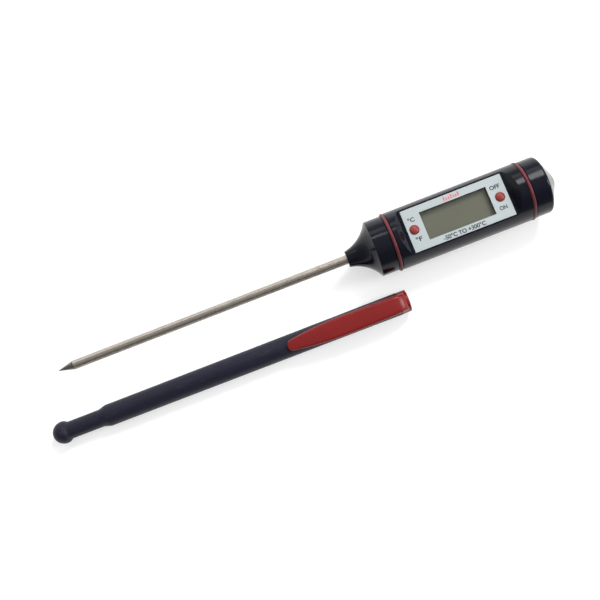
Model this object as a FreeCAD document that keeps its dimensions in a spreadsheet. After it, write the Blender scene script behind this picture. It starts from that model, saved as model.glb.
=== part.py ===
import FreeCAD, Part
import os
import re
import Sketcher

# Pen-type digital probe thermometer with its pocket sheath lying beside it.
# +X runs from the probe's point to the battery cap, +Z is up and z = 0 is the table.
# The thermometer lies on its two rubber rings with the display up; the sheath lies at -Y.
# Each piece is drawn with its own x = 0 at the probe's point, or at the sheath's closed end,
# and on the axis of the thermometer or of the sheath. Its Placement then puts it on the table.

doc = FreeCAD.newDocument("probe_thermometer")

# Driving dimensions in millimetres: name, value, what it measures
DIMENSIONS = [
    ("thermo_length", 205.6, "probe point to end of battery cap"),
    ("sheath_lead", 12.1, "how far the sheath's closed end lies past the probe point"),
    ("sheath_gap", 22.6, "thermometer axis to sheath axis"),
    ("clip_roll", 6.5, "how far the sheath has rolled towards -Y, in degrees"),
    ("clip_reach", 4.66, "how far the rolled clip reaches past the sheath's axis"),
    ("probe_radius", 1.85, "stainless probe"),
    ("probe_bore", 1.45, "inside radius of the probe tube"),
    ("grip_radius", 1.65, "rear part of the probe tube, inside the nose"),
    ("point_length", 7.0, "cone at the probe's end"),
    ("plug_length", 5.0, "spigot of the point inside the tube"),
    ("tube_end", 134.1, "rear end of the probe tube, inside the nose"),
    ("bead_start", 13.2, "front of the thermistor bead"),
    ("bead_radius", 0.9, "thermistor bead"),
    ("bead_length", 3.4, "thermistor bead"),
    ("potting_length", 8.0, "epoxy round the bead"),
    ("lead_radius", 0.22, "thermistor lead"),
    ("lead_offset", 0.45, "lead to probe axis"),
    ("lead_rise", 0.13, "leads above the axis, so that they meet the board"),
    ("lead_start", 16.0, "leads leave the bead"),
    ("lead_end", 146.6, "leads end under the board"),
    ("sleeve_radius", 1.3, "insulating sleeve round both leads"),
    ("sleeve_bore", 0.95, "inside of the sleeve"),
    ("sleeve_start", 21.0, "front end of the sleeve"),
    ("sleeve_end", 138.6, "rear end of the sleeve"),
    ("nose_start", 120.9, "front face of the nose"),
    ("nose_tip_radius", 3.2, "front face of the nose"),
    ("flare_end", 131.6, "where the flare meets the nose's cylinder"),
    ("flare_radius", 14.8, "radius of the hollow flare"),
    ("nose_radius", 11.08, "cylinder of the nose"),
    ("nose_end", 138.41, "rear face of the nose's cylinder"),
    ("nose_bore_end", 130.6, "end of the bore that holds the tube"),
    ("nose_pocket", 3.5, "radius of the cavity where it starts"),
    ("nose_cavity_start", 134.1, "where the cavity reaches its full radius"),
    ("nose_cavity", 8.8, "radius of the nose's cavity"),
    ("plug_end", 132.2, "rear face of the epoxy in the nose"),
    ("plug_edge", 5.92, "radius of that face"),
    ("spigot_radius", 9.72, "part of the nose inside the handle"),
    ("spigot_end", 144.6, "rear end of that spigot"),
    ("spigot_top", 4.6, "the spigot is cut away above this height, under the display"),
    ("edge_break", 0.25, "small chamfers"),
    ("margin", 1.0, "how far a cutting shape reaches past what it cuts"),
    ("groove_radius", 10.35, "necks that carry the rubber rings"),
    ("ring_section", 0.68, "section radius of a rubber ring"),
    ("ring_radius", 11.75, "outside of a rubber ring"),
    ("front_ring_x", 139.1, "middle of the front ring"),
    ("rear_ring_x", 193.1, "middle of the rear ring"),
    ("body_start", 139.79, "front face of the handle body"),
    ("body_end", 192.41, "rear shoulder of the handle body"),
    ("body_radius", 11.6, "handle body"),
    ("body_bore", 9.8, "inside radius of the handle body"),
    ("bulkhead_x", 190.6, "where the bore narrows to the battery neck"),
    ("recess_floor", 7.3, "height of the flat that carries the label"),
    ("recess_start", 144.6, "front end of that flat"),
    ("recess_end", 186.2, "rear end of that flat"),
    ("recess_slope", 0.726, "run of the end slopes for each millimetre of rise"),
    ("slope_wall", 1.61, "wall behind the end slopes, measured along X"),
    ("floor_underside", 5.4, "underside of the flat"),
    ("window_length", 26.9, "opening over the display"),
    ("window_width", 11.35, "opening over the display"),
    ("window_x", 165.48, "middle of the opening"),
    ("pane_gap", 0.05, "clearance round the clear pane"),
    ("pane_thickness", 0.5, "clear pane"),
    ("label_x", 165.55, "middle of the printed label"),
    ("label_length", 40.2, "printed label"),
    ("label_width", 16.8, "printed label"),
    ("label_thickness", 0.15, "printed label"),
    ("label_window_length", 26.7, "cut-out in the label"),
    ("label_window_width", 11.2, "cut-out in the label"),
    ("unit_x", 148.15, "middle of the unit button"),
    ("power_x", 182.5, "middle of the power button"),
    ("button_radius", 1.72, "push button"),
    ("button_hole", 1.84, "hole for a button in the handle"),
    ("label_hole", 1.89, "hole for a button in the label"),
    ("button_edge", 7.75, "height where a button's dome starts"),
    ("button_top", 8.3, "top of a button's dome"),
    ("button_base", 4.9, "underside of a button"),
    ("ear_top", 5.25, "top of the ears that hold a button in"),
    ("ear_length", 2.8, "ears, along X"),
    ("ear_width", 6.0, "over both ears"),
    ("plunger_radius", 1.1, "plunger of a push switch"),
    ("plunger_base", 1.95, "underside of a plunger"),
    ("switch_length", 3.0, "push switch, along X"),
    ("switch_width", 4.0, "push switch"),
    ("switch_height", 2.0, "push switch"),
    ("switch_bore", 1.2, "hole for the plunger"),
    ("switch_floor", 0.15, "bottom of a push switch"),
    ("board_start", 144.9, "front edge of the circuit board"),
    ("board_length", 39.6, "circuit board"),
    ("board_width", 17.6, "circuit board"),
    ("board_top", 1.35, "top face of the circuit board"),
    ("board_thickness", 1.0, "circuit board"),
    ("board_corner", 1.5, "cut corners of the circuit board"),
    ("rail_inner", 8.1, "rails that hold the board: distance from the middle"),
    ("rail_depth", 2.2, "width of a rail, into the handle's wall"),
    ("rail_height", 1.0, "height of a rail"),
    ("rail_gap", 0.1, "clearance between board and rail"),
    ("frame_length", 30.2, "plastic frame round the display"),
    ("frame_width", 15.4, "plastic frame round the display"),
    ("frame_inside_length", 28.8, "inside of the frame"),
    ("frame_inside_width", 13.2, "inside of the frame"),
    ("frame_height", 4.0, "plastic frame round the display"),
    ("glass_length", 28.6, "display"),
    ("glass_width", 13.0, "lower glass of the display"),
    ("glass_upper_width", 11.8, "upper glass of the display"),
    ("glass_half", 1.1, "thickness of each display glass"),
    ("strip_length", 27.0, "rubber contact strip"),
    ("strip_width", 1.6, "rubber contact strip"),
    ("strip_height", 1.0, "rubber contact strip"),
    ("strip_y", 5.4, "middle of a strip from the display's middle"),
    ("blob_x", 160.6, "middle of the sealed chip"),
    ("blob_radius", 4.5, "sealed chip"),
    ("blob_drop", 1.3, "how far the sealed chip stands under the board"),
    ("crystal_x", 168.6, "front end of the crystal"),
    ("crystal_y", 4.5, "middle of the crystal, to the left of the middle"),
    ("crystal_radius", 1.0, "crystal"),
    ("crystal_length", 6.0, "crystal"),
    ("capacitor_x", 168.6, "front end of the first capacitor"),
    ("capacitor_y", 5.0, "right side of the capacitors, from the middle"),
    ("capacitor_pitch", 3.0, "from one capacitor to the next"),
    ("capacitor_length", 2.0, "capacitor"),
    ("capacitor_width", 1.25, "capacitor"),
    ("capacitor_height", 1.0, "capacitor"),
    ("resistor_x", 150.6, "front end of the first resistor"),
    ("resistor_y", 6.5, "right side of the resistors, from the middle"),
    ("resistor_pitch", 2.0, "from one resistor to the next"),
    ("resistor_length", 0.8, "resistor"),
    ("resistor_width", 1.6, "resistor"),
    ("resistor_height", 0.5, "resistor"),
    ("neck_end", 198.6, "rear end of the battery neck"),
    ("neck_bore", 7.6, "inside of the battery neck"),
    ("groove_end", 193.79, "rear end of the rear ring's neck"),
    ("thread_core", 9.05, "neck under its thread"),
    ("thread_crest", 9.6, "outside of the neck's thread"),
    ("thread_pitch", 1.5, "cap thread"),
    ("thread_start", 194.8, "middle of the neck thread's first turn"),
    ("thread_length", 3.0, "axial length of the neck's thread"),
    ("ridge_root", 0.9, "width of the thread's ridge at the core"),
    ("ridge_crest", 0.35, "width of the ridge at its crest"),
    ("thread_sink", 0.1, "how far a thread's outline reaches into its own part"),
    ("groove_lead", 3.0, "how far the cap's groove starts before the neck's thread"),
    ("groove_length", 6.75, "axial length of the cap's groove"),
    ("cap_minor", 9.2, "cap's thread: inside radius"),
    ("cap_major", 9.75, "cap's thread: bottom of the groove"),
    ("cap_groove_mouth", 1.2, "width of the cap's groove at its mouth"),
    ("cap_groove_bottom", 0.65, "width of the cap's groove at its bottom"),
    ("cap_start", 193.85, "front face of the cap"),
    ("cap_radius", 11.35, "cylinder of the cap"),
    ("cap_shoulder", 199.6, "end of the cap's cylinder"),
    ("cap_round", 1.2, "radius of the shoulder's round"),
    ("cap_cone_start", 200.6, "where the cap's cone starts"),
    ("cap_cone_radius", 10.95, "radius there"),
    ("cap_cone_end", 204.5, "where the cap's cone ends"),
    ("cap_tip_radius", 3.7, "radius there"),
    ("cap_inside", 199.8, "bottom of the cap"),
    ("pad_start", 198.65, "foam pad that presses the cell"),
    ("pad_radius", 4.5, "foam pad"),
    ("carrier_front", 188.6, "front of the battery carrier"),
    ("carrier_boss", 7.0, "radius of the carrier's front"),
    ("carrier_flange_x", 189.8, "front face of the carrier's flange"),
    ("carrier_flange", 9.55, "radius of the flange"),
    ("carrier_radius", 7.45, "barrel of the carrier"),
    ("carrier_end", 198.5, "rear end of the barrel"),
    ("carrier_floor", 191.2, "bottom of the cell's chamber"),
    ("carrier_bore", 5.95, "cell's chamber"),
    ("strap_width", 3.0, "positive contact strip"),
    ("strap_drop", 6.2, "underside of the strip, below the axis"),
    ("strap_thickness", 0.3, "contact strip"),
    ("strap_gap", 0.1, "clearance round the strip"),
    ("strap_slot", 1.3, "depth of its slot, which is open to the cell's chamber"),
    ("strap_end", 197.1, "rear end of the strip"),
    ("strap_tab_top", 0.2, "top of the strip's front tab"),
    ("coil_wire", 0.25, "wire radius of the spring"),
    ("coil_radius", 3.2, "spring, to the middle of its wire"),
    ("coil_pitch", 0.62, "spring, as pressed by the cell"),
    ("coil_length", 1.45, "spring, between the middles of its end turns"),
    ("cell_start", 193.2, "front of the button cell"),
    ("cell_step", 193.7, "front of the cell's can"),
    ("cell_end", 198.6, "rear of the cell"),
    ("cell_radius", 5.8, "button cell"),
    ("cell_cap_radius", 4.9, "front face of the cell"),
    ("wire_radius", 0.45, "battery wire"),
    ("wire_start", 182.1, "front end of the battery wires"),
    ("wire_y", 3.0, "negative wire from the middle"),
    ("wire_drop", 0.15, "middle of the battery wires below the axis"),
    ("sheath_length", 149.8, "sheath"),
    ("ball_radius", 4.42, "ball at the sheath's closed end"),
    ("ball_widest", 3.8, "widest place of the ball"),
    ("ball_back", 3.0, "radius of the ball's rear side"),
    ("ball_end", 6.7, "where the ball meets the waist"),
    ("sheath_neck", 3.5, "waist behind the ball"),
    ("waist_end", 20.3, "rear end of the waist"),
    ("shoulder_end", 23.3, "where the sheath's tube starts"),
    ("sheath_radius", 4.36, "sheath's tube"),
    ("sheath_mouth_radius", 4.5, "sheath's tube, at the collar"),
    ("sheath_bore", 3.0, "bore that takes the probe"),
    ("bore_bottom", 25.5, "where the bore is full"),
    ("bore_point", 24.0, "end of the bore's cone"),
    ("mouth_taper_start", 145.0, "where the bore starts to widen"),
    ("mouth_radius", 3.45, "bore at the mouth, which grips the nose"),
    ("collar_start", 145.9, "front face of the clip's collar"),
    ("collar_seat", 3.85, "tube inside the collar"),
    ("collar_radius", 4.42, "clip's collar"),
    ("bridge_half", 3.55, "half width of the clip's root"),
    ("bridge_top", 6.95, "top of the clip's root above the sheath's axis"),
    ("bridge_fold", 146.9, "where the root starts to fold down"),
    ("bridge_end", 148.5, "rear face of the root"),
    ("bridge_end_top", 5.0, "top of that face"),
    ("bridge_round", 2.2, "radius of the fold"),
    ("tongue_tip", 99.4, "free end of the clip's tongue"),
    ("tongue_root", 145.7, "rear end of the tongue"),
    ("tip_round_end", 101.6, "end of the rounded tip"),
    ("tip_half", 2.3, "half width there"),
    ("tip_round", 2.4, "radius of the rounded tip"),
    ("taper_x", 110.0, "place between the tip and the widest stretch"),
    ("taper_half", 3.3, "half width there"),
    ("wide_start", 121.0, "start of the widest stretch"),
    ("wide_end", 128.0, "end of the widest stretch"),
    ("wide_half", 3.88, "half width there"),
    ("waist_x", 139.5, "narrowest place of the tongue"),
    ("waist_half", 3.68, "half width there"),
    ("tongue_low", 4.6, "underside of the tongue at its free end"),
    ("tongue_high", 5.55, "underside of the tongue at its root"),
    ("tongue_tip_top", 5.5, "top of the tongue at its free end"),
    ("tongue_arch", 400.0, "radius of the tongue's arched back"),
    ("tongue_arch_under", 400.0, "radius of its underside"),
]


def make_sheet(dimensions):
    """Spreadsheet with one row for each dimension: its name, its value and what it measures."""
    table = doc.addObject("Spreadsheet::Sheet", "dims")
    for row, (alias, size, note) in enumerate(dimensions, start=1):
        table.set(f"A{row}", alias)
        table.set(f"B{row}", str(size))
        table.set(f"C{row}", note)
        table.setAlias(f"B{row}", alias)
    doc.recompute()
    return table


sheet = make_sheet(DIMENSIONS)
ALIASES = {alias for alias, _size, _note in DIMENSIONS}
nodes = []

# Where each item lies: the place of the probe's point, and of the sheath's closed end.
# LOCAL is for the shapes that are joined first and placed together.
LOCAL = ("0", "0", "0")
THERMOMETER = (
    "(sheath_lead - thermo_length) / 2",
    "(sheath_gap + clip_reach - ring_radius) / 2",
    "ring_radius",
)
SHEATH = (
    "(sheath_lead - thermo_length) / 2 - sheath_lead",
    "(clip_reach - ring_radius - sheath_gap) / 2",
    "sheath_mouth_radius",
)


def formula(text):
    """A formula of the sheet's names, written the way the document reads it."""
    return re.sub(r"[a-z]\w*", lambda word: "dims." + word[0] if word[0] in ALIASES else word[0], text)


def size_of(text):
    """The present value of a formula."""
    return float(sheet.evalExpression(formula(text)))


def bind(thing, **formulas):
    """Bind properties of an object to the sheet."""
    for name, text in formulas.items():
        thing.setExpression(name, formula(text))


def place(thing, origin, along="0", across="0", up="0"):
    """Bind the place of an object to an item's origin and an offset from it."""
    for axis, base, offset in zip("xyz", origin, (along, across, up)):
        thing.setExpression(f"Placement.Base.{axis}", formula(f"{base} + ({offset})"))


def node(label, thing, origin, roll=None, **offset):
    """Name a finished sub-part and lay it where it belongs, rolled about its axis if need be."""
    thing.Label = label
    if roll:
        thing.Placement.Rotation = FreeCAD.Rotation(FreeCAD.Vector(1, 0, 0), size_of(roll))
        thing.setExpression("Placement.Rotation.Angle", formula(roll))
    place(thing, origin, **offset)
    nodes.append(thing)


# ---------------------------------------------------------------- sketches and simple shapes

def pin_corner(sketch, edge, end, direction, text):
    """Hold one coordinate of an edge's end at a formula."""
    if text == "0":
        axis = -2 if direction == "DistanceX" else -1
        sketch.addConstraint(Sketcher.Constraint("PointOnObject", edge, end, axis))
        return
    held = sketch.addConstraint(Sketcher.Constraint(direction, -1, 1, edge, end, size_of(text)))
    sketch.setExpression(f"Constraints[{held}]", formula(text))


def add_arc(sketch, start, end, text):
    """Arc from start to end that bows to the left of the way, or to the right with a minus sign."""
    bows_right = text.startswith("-")
    radius_text = text.lstrip("-")
    radius = size_of(radius_text)
    chord = end - start
    middle = (start + end) * 0.5
    left = FreeCAD.Vector(-chord.y, chord.x, 0).normalize()
    reach = max(radius ** 2 - (chord.Length / 2) ** 2, 0.0) ** 0.5
    centre = middle + left * (reach if bows_right else -reach)
    first, last = (start, end) if bows_right else (end, start)
    x_axis = FreeCAD.Vector(1, 0, 0)
    angles = [x_axis.getAngle(point - centre) * (1 if point.y >= centre.y else -1)
              for point in (first, last)]
    circle = Part.Circle(centre, FreeCAD.Vector(0, 0, 1), radius)
    edge = sketch.addGeometry(Part.ArcOfCircle(circle, angles[0], angles[1]), False)
    held = sketch.addConstraint(Sketcher.Constraint("Radius", edge, radius))
    sketch.setExpression(f"Constraints[{held}]", formula(radius_text))
    return (edge, 1, 2) if bows_right else (edge, 2, 1)


def outline(body, name, plane, corners):
    """Closed sketch through corners given as two formulas each; a third one bends the next edge."""
    sketch = body.newObject("Sketcher::SketchObject", name)
    base = next(face for face in body.Origin.OriginFeatures if face.Role == plane)
    sketch.AttachmentSupport = (base, [""])
    sketch.MapMode = "FlatFace"
    points = [FreeCAD.Vector(size_of(corner[0]), size_of(corner[1]), 0) for corner in corners]
    edges = []
    for number, corner in enumerate(corners):
        start = points[number]
        end = points[(number + 1) % len(points)]
        if len(corner) == 3:
            edges.append(add_arc(sketch, start, end, corner[2]))
        else:
            edges.append((sketch.addGeometry(Part.LineSegment(start, end), False), 1, 2))
    for number, (edge, first, last) in enumerate(edges):
        following, its_first, _ = edges[(number + 1) % len(edges)]
        sketch.addConstraint(Sketcher.Constraint("Coincident", edge, last, following, its_first))
        pin_corner(sketch, edge, first, "DistanceX", corners[number][0])
        pin_corner(sketch, edge, first, "DistanceY", corners[number][1])
    return sketch


def round_outline(body, name, across, up, radius):
    """Circle sketched in the XZ plane."""
    sketch = body.newObject("Sketcher::SketchObject", name)
    base = next(face for face in body.Origin.OriginFeatures if face.Role == "XZ_Plane")
    sketch.AttachmentSupport = (base, [""])
    sketch.MapMode = "FlatFace"
    centre = FreeCAD.Vector(size_of(across), size_of(up), 0)
    edge = sketch.addGeometry(Part.Circle(centre, FreeCAD.Vector(0, 0, 1), size_of(radius)), False)
    held = sketch.addConstraint(Sketcher.Constraint("Radius", edge, size_of(radius)))
    sketch.setExpression(f"Constraints[{held}]", formula(radius))
    pin_corner(sketch, edge, 3, "DistanceX", across)
    pin_corner(sketch, edge, 3, "DistanceY", up)
    return sketch


def dome(radius, rise):
    """Radius of the arc that rises this far over this radius and ends square to its axis."""
    return f"(({radius}) * ({radius}) + ({rise}) * ({rise})) / (2 * ({rise}))"


def new_body(name):
    return doc.addObject("PartDesign::Body", name)


def turned(name, corners, axis="H_Axis"):
    """Body turned about the X axis, or about the Z axis with V_Axis, from an outline in the XZ plane."""
    body = new_body(name)
    profile = outline(body, name + "_profile", "XZ_Plane", corners)
    turn = body.newObject("PartDesign::Revolution", name + "_turned")
    turn.Profile = profile
    turn.ReferenceAxis = (profile, [axis])
    turn.Angle = 360
    return body


def padded(name, plane, corners, thickness, middle=False):
    """Body padded from an outline: upwards from the XY plane, or both ways from the XZ plane."""
    body = new_body(name)
    profile = outline(body, name + "_profile", plane, corners)
    pad = body.newObject("PartDesign::Pad", name + "_pad")
    pad.Profile = profile
    pad.Midplane = middle
    bind(pad, Length=thickness)
    return body


def wind(body, kind, name, profile, pitch, height):
    """Coil a sketch in the XZ plane round the X axis of its body."""
    coil = body.newObject(kind, name)
    coil.Profile = profile
    coil.ReferenceAxis = (profile, ["H_Axis"])
    coil.Mode = "pitch-height-angle"
    bind(coil, Pitch=pitch, Height=height)
    return coil


def box(name, length, width, height, along, across, up):
    """Box from its lowest corner; the corner's y is given too, so that a row can be mirrored."""
    block = doc.addObject("Part::Box", name)
    bind(block, Length=length, Width=width, Height=height)
    place(block, LOCAL, along, across, up)
    return block


def centred_box(name, length, width, height, along, up):
    """Box centred on a place along X and on the middle plane, standing on a height."""
    return box(name, length, width, height, f"{along} - ({length}) / 2", f"-({width}) / 2", up)


def rod(name, radius, length, along="0", across="0", up="0"):
    """Cylinder along +X."""
    bar = doc.addObject("Part::Cylinder", name)
    bar.Placement.Rotation = FreeCAD.Rotation(FreeCAD.Vector(0, 1, 0), 90)
    bind(bar, Radius=radius, Height=length)
    place(bar, LOCAL, along, across, up)
    return bar


def post(name, radius, height, along="0", across="0", up="0"):
    """Cylinder along +Z."""
    bar = doc.addObject("Part::Cylinder", name)
    bind(bar, Radius=radius, Height=height)
    place(bar, LOCAL, along, across, up)
    return bar


def fuse(name, *shapes):
    joined = doc.addObject("Part::MultiFuse", name)
    joined.Shapes = list(shapes)
    return joined


def cut(name, base, *tools):
    """Base less one tool, or less several fused ones."""
    result = doc.addObject("Part::Cut", name)
    result.Base = base
    result.Tool = tools[0] if len(tools) == 1 else fuse(name + "_tools", *tools)
    return result


def common(name, first, second):
    shared = doc.addObject("Part::MultiCommon", name)
    shared.Shapes = [first, second]
    return shared


def group(name, *shapes):
    """Separate solids that share one node."""
    several = doc.addObject("Part::Compound", name)
    several.Links = list(shapes)
    return several


# ---------------------------------------------------------------- probe

def make_probe_tube():
    """Thin stainless tube, open at both ends, a little thinner where the nose holds it."""
    tube = turned("probe_tube", [
        ("point_length", "probe_bore"),
        ("tube_end", "probe_bore"),
        ("tube_end", "grip_radius"),
        ("nose_start", "grip_radius"),
        ("nose_start", "probe_radius"),
        ("point_length", "probe_radius"),
    ])
    node("probe_tube", tube, THERMOMETER)


def make_probe_point():
    """Sharp cone whose spigot closes the tube's front end."""
    point = turned("probe_point", [
        ("0", "0"),
        ("point_length", "probe_radius"),
        ("point_length", "probe_bore"),
        ("point_length + plug_length", "probe_bore"),
        ("point_length + plug_length", "0"),
    ])
    node("probe_point", point, THERMOMETER)


def bead_outline():
    """Bead with round ends, from its front to its rear along the axis."""
    return [
        ("bead_start", "0", "bead_radius"),
        ("bead_start + bead_radius", "bead_radius"),
        ("bead_start + bead_length - bead_radius", "bead_radius", "bead_radius"),
        ("bead_start + bead_length", "0"),
    ]


def make_thermistor():
    """Glass bead, its two leads and the epoxy that fixes it in the tube."""
    bead = turned("bead", bead_outline())
    node("thermistor_bead", cut("bead_with_leads", bead, lead_pair("bead_lead")), THERMOMETER)

    node("thermistor_leads", lead_pair("lead"), THERMOMETER)

    front = "point_length + plug_length"
    epoxy = turned("potting", [
        (front, "0"),
        (front, "probe_bore"),
        (f"{front} + potting_length", "probe_bore"),
        (f"{front} + potting_length", "0"),
    ])
    space = turned("bead_space", bead_outline())
    node("tip_potting", cut("potting_round_bead", epoxy, space, lead_pair("potting_lead")), THERMOMETER)


def lead_pair(name):
    """The two thermistor leads, side by side."""
    length = "lead_end - lead_start"
    sides = [rod(f"{name}_{side}", "lead_radius", length, "lead_start", across, "lead_rise")
             for side, across in (("left", "lead_offset"), ("right", "-lead_offset"))]
    return group(name + "s", *sides)


def make_lead_sleeve():
    """Insulating sleeve over both leads inside the tube."""
    sleeve = turned("lead_sleeve", [
        ("sleeve_start", "sleeve_bore"),
        ("sleeve_end", "sleeve_bore"),
        ("sleeve_end", "sleeve_radius"),
        ("sleeve_start", "sleeve_radius"),
    ])
    node("lead_sleeve", sleeve, THERMOMETER)


# ---------------------------------------------------------------- nose and rings

def make_nose_cone():
    """Flared nose: bore for the tube, neck for the front ring and a spigot inside the handle."""
    nose = turned("nose", [
        ("nose_start", "grip_radius"),
        ("nose_start", "nose_tip_radius", "-flare_radius"),
        ("flare_end", "nose_radius"),
        ("nose_end - edge_break", "nose_radius"),
        ("nose_end", "nose_radius - edge_break"),
        ("nose_end", "groove_radius"),
        ("body_start", "groove_radius"),
        ("body_start", "spigot_radius"),
        ("spigot_end", "spigot_radius"),
        ("spigot_end", "nose_cavity"),
        ("nose_cavity_start", "nose_cavity"),
        ("nose_bore_end", "nose_pocket"),
        ("nose_bore_end", "grip_radius"),
    ])
    relief = centred_box("spigot_relief", "2 * (spigot_end - body_start)", "2 * body_radius",
                         "body_radius", "spigot_end", "spigot_top")
    node("nose_cone", cut("nose_with_relief", nose, relief), THERMOMETER)


def make_epoxy_plug():
    """Epoxy that holds the tube in the bottom of the nose."""
    plug = turned("epoxy_plug", [
        ("nose_bore_end", "grip_radius"),
        ("nose_bore_end", "nose_pocket"),
        ("plug_end", "plug_edge"),
        ("plug_end", "grip_radius"),
    ])
    node("epoxy_plug", plug, THERMOMETER)


def make_ring(label, along):
    """Rubber ring in the groove between two parts of the handle."""
    ring = doc.addObject("Part::Torus", label)
    ring.Placement.Rotation = FreeCAD.Rotation(FreeCAD.Vector(0, 1, 0), 90)
    bind(ring, Radius1="ring_radius - ring_section", Radius2="ring_section")
    node(label, ring, THERMOMETER, along=along)


# ---------------------------------------------------------------- handle body

def slope_foot(height, side):
    """Where an end slope of the recess stands at a height; side is front or rear."""
    run = f"recess_slope * (({height}) - recess_floor)"
    return f"recess_start - {run}" if side == "front" else f"recess_end + {run}"


def make_recess():
    """Space above the label's flat, open at the top, with a slope at each end."""
    top = "body_radius + margin"
    return padded("recess", "XZ_Plane", [
        ("recess_start", "recess_floor"),
        ("recess_end", "recess_floor"),
        (slope_foot(top, "rear"), top),
        (slope_foot(top, "front"), top),
    ], "3 * body_radius", middle=True)


def make_tray():
    """What stays solid inside the bore: the flat's floor and the walls behind its slopes."""
    top = "body_bore + margin"
    return padded("tray", "XZ_Plane", [
        (f"{slope_foot('floor_underside', 'front')} - slope_wall", "floor_underside"),
        (f"{slope_foot('floor_underside', 'rear')} + slope_wall", "floor_underside"),
        (f"{slope_foot(top, 'rear')} + slope_wall", top),
        (f"{slope_foot(top, 'front')} - slope_wall", top),
    ], "3 * body_radius", middle=True)


def make_shell():
    """Outside of the handle body, solid, with the neck and its thread for the cap."""
    shell = turned("shell", [
        ("body_start", "0"),
        ("body_start", "body_radius - edge_break"),
        ("body_start + edge_break", "body_radius"),
        ("body_end - edge_break", "body_radius"),
        ("body_end", "body_radius - edge_break"),
        ("body_end", "groove_radius"),
        ("groove_end", "groove_radius"),
        ("groove_end", "thread_core"),
        ("neck_end", "thread_core"),
        ("neck_end", "0"),
    ])
    ridge = outline(shell, "ridge_profile", "XZ_Plane", [
        ("thread_start - ridge_root / 2", "thread_core - thread_sink"),
        ("thread_start + ridge_root / 2", "thread_core - thread_sink"),
        ("thread_start + ridge_crest / 2", "thread_crest"),
        ("thread_start - ridge_crest / 2", "thread_crest"),
    ])
    wind(shell, "PartDesign::AdditiveHelix", "neck_thread", ridge, "thread_pitch", "thread_length")
    return shell


def make_bore():
    """Bore of the handle and of its battery neck."""
    return turned("bore", [
        ("body_start - margin", "0"),
        ("body_start - margin", "body_bore"),
        ("bulkhead_x", "body_bore"),
        ("bulkhead_x", "neck_bore"),
        ("neck_end + margin", "neck_bore"),
        ("neck_end + margin", "0"),
    ])


def make_rails():
    """Four rails inside the walls, above and below each long edge of the circuit board."""
    rails = []
    heights = {
        "upper": "board_top + rail_gap",
        "lower": "board_top - board_thickness - rail_gap - rail_height",
    }
    sides = {"left": "rail_inner", "right": "-rail_inner - rail_depth"}
    for level, up in heights.items():
        for side, across in sides.items():
            rails.append(box(f"rail_{level}_{side}", "board_length", "rail_depth", "rail_height",
                             "board_start", across, up))
    return rails


def make_handle_body():
    """Tube with the label's recess, the display opening, two button holes and the board's rails."""
    cavity = cut("cavity", make_bore(), make_tray(), *make_rails())
    opening = centred_box("opening", "window_length", "window_width", "recess_floor",
                          "window_x", "floor_underside - pane_thickness")
    holes = [post(f"{name}_hole", "button_hole", "recess_floor", along, "0", "floor_underside - margin")
             for name, along in (("unit", "unit_x"), ("power", "power_x"))]
    handle = cut("handle", make_shell(), make_recess(), cavity, opening, *holes)
    node("handle_body", handle, THERMOMETER)


# ---------------------------------------------------------------- label, display and board

def make_face_label():
    """Printed label with a cut-out for the display and a hole for each button."""
    plate = centred_box("label_plate", "label_length", "label_width", "label_thickness",
                        "label_x", "recess_floor")
    window = centred_box("label_window", "label_window_length", "label_window_width",
                         "3 * label_thickness", "window_x", "recess_floor - label_thickness")
    holes = [post(f"label_{name}_hole", "label_hole", "3 * label_thickness", along, "0",
                  "recess_floor - label_thickness")
             for name, along in (("unit", "unit_x"), ("power", "power_x"))]
    node("face_label", cut("label_with_holes", plate, window, *holes), THERMOMETER)


def make_display_window():
    """Clear pane in the opening, just above the display."""
    length = "(window_length - 2 * pane_gap)"
    width = "(window_width - 2 * pane_gap)"
    pane = centred_box("pane", length, width, "pane_thickness", "0", "0")
    node("display_window", pane, THERMOMETER, along=f"window_x - {length} / 2", across=f"-{width} / 2",
         up="floor_underside")


def make_display():
    """Two display glasses, their two contact strips and the frame that holds them on the board."""
    base = "board_top + strip_height"
    lower = centred_box("lower_glass", "glass_length", "glass_width", "glass_half", "label_x", base)
    upper = centred_box("upper_glass", "glass_length", "glass_upper_width", "glass_half", "label_x",
                        f"{base} + glass_half")
    node("lcd_panel", fuse("glasses", lower, upper), THERMOMETER)

    strips = [box(f"strip_{side}", "strip_length", "strip_width", "strip_height",
                  "label_x - strip_length / 2", f"{across} - strip_width / 2", "board_top")
              for side, across in (("left", "strip_y"), ("right", "-strip_y"))]
    node("contact_strips", group("strips", *strips), THERMOMETER)

    outside = centred_box("frame_outside", "frame_length", "frame_width", "frame_height",
                          "label_x", "board_top")
    inside = centred_box("frame_inside", "frame_inside_length", "frame_inside_width",
                         "3 * frame_height", "label_x", "board_top - frame_height")
    node("lcd_frame", cut("frame", outside, inside), THERMOMETER)


def make_circuit_board():
    """Board with cut corners, held by its long edges."""
    half = "board_width / 2"
    far = "board_start + board_length"
    board = padded("circuit_board", "XY_Plane", [
        ("board_start + board_corner", f"-{half}"),
        (f"{far} - board_corner", f"-{half}"),
        (far, f"board_corner - {half}"),
        (far, f"{half} - board_corner"),
        (f"{far} - board_corner", half),
        ("board_start + board_corner", half),
        ("board_start", f"{half} - board_corner"),
        ("board_start", f"board_corner - {half}"),
    ], "board_thickness")
    node("circuit_board", board, THERMOMETER, up="board_top - board_thickness")


def make_chip():
    """Chip under its black blob, on the underside of the board."""
    blob = turned("chip_blob", [
        ("0", "0"),
        ("0", "-blob_drop", "-" + dome("blob_radius", "blob_drop")),
        ("blob_radius", "0"),
    ], axis="V_Axis")
    node("chip_blob", blob, THERMOMETER, along="blob_x", up="board_top - board_thickness")


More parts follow.
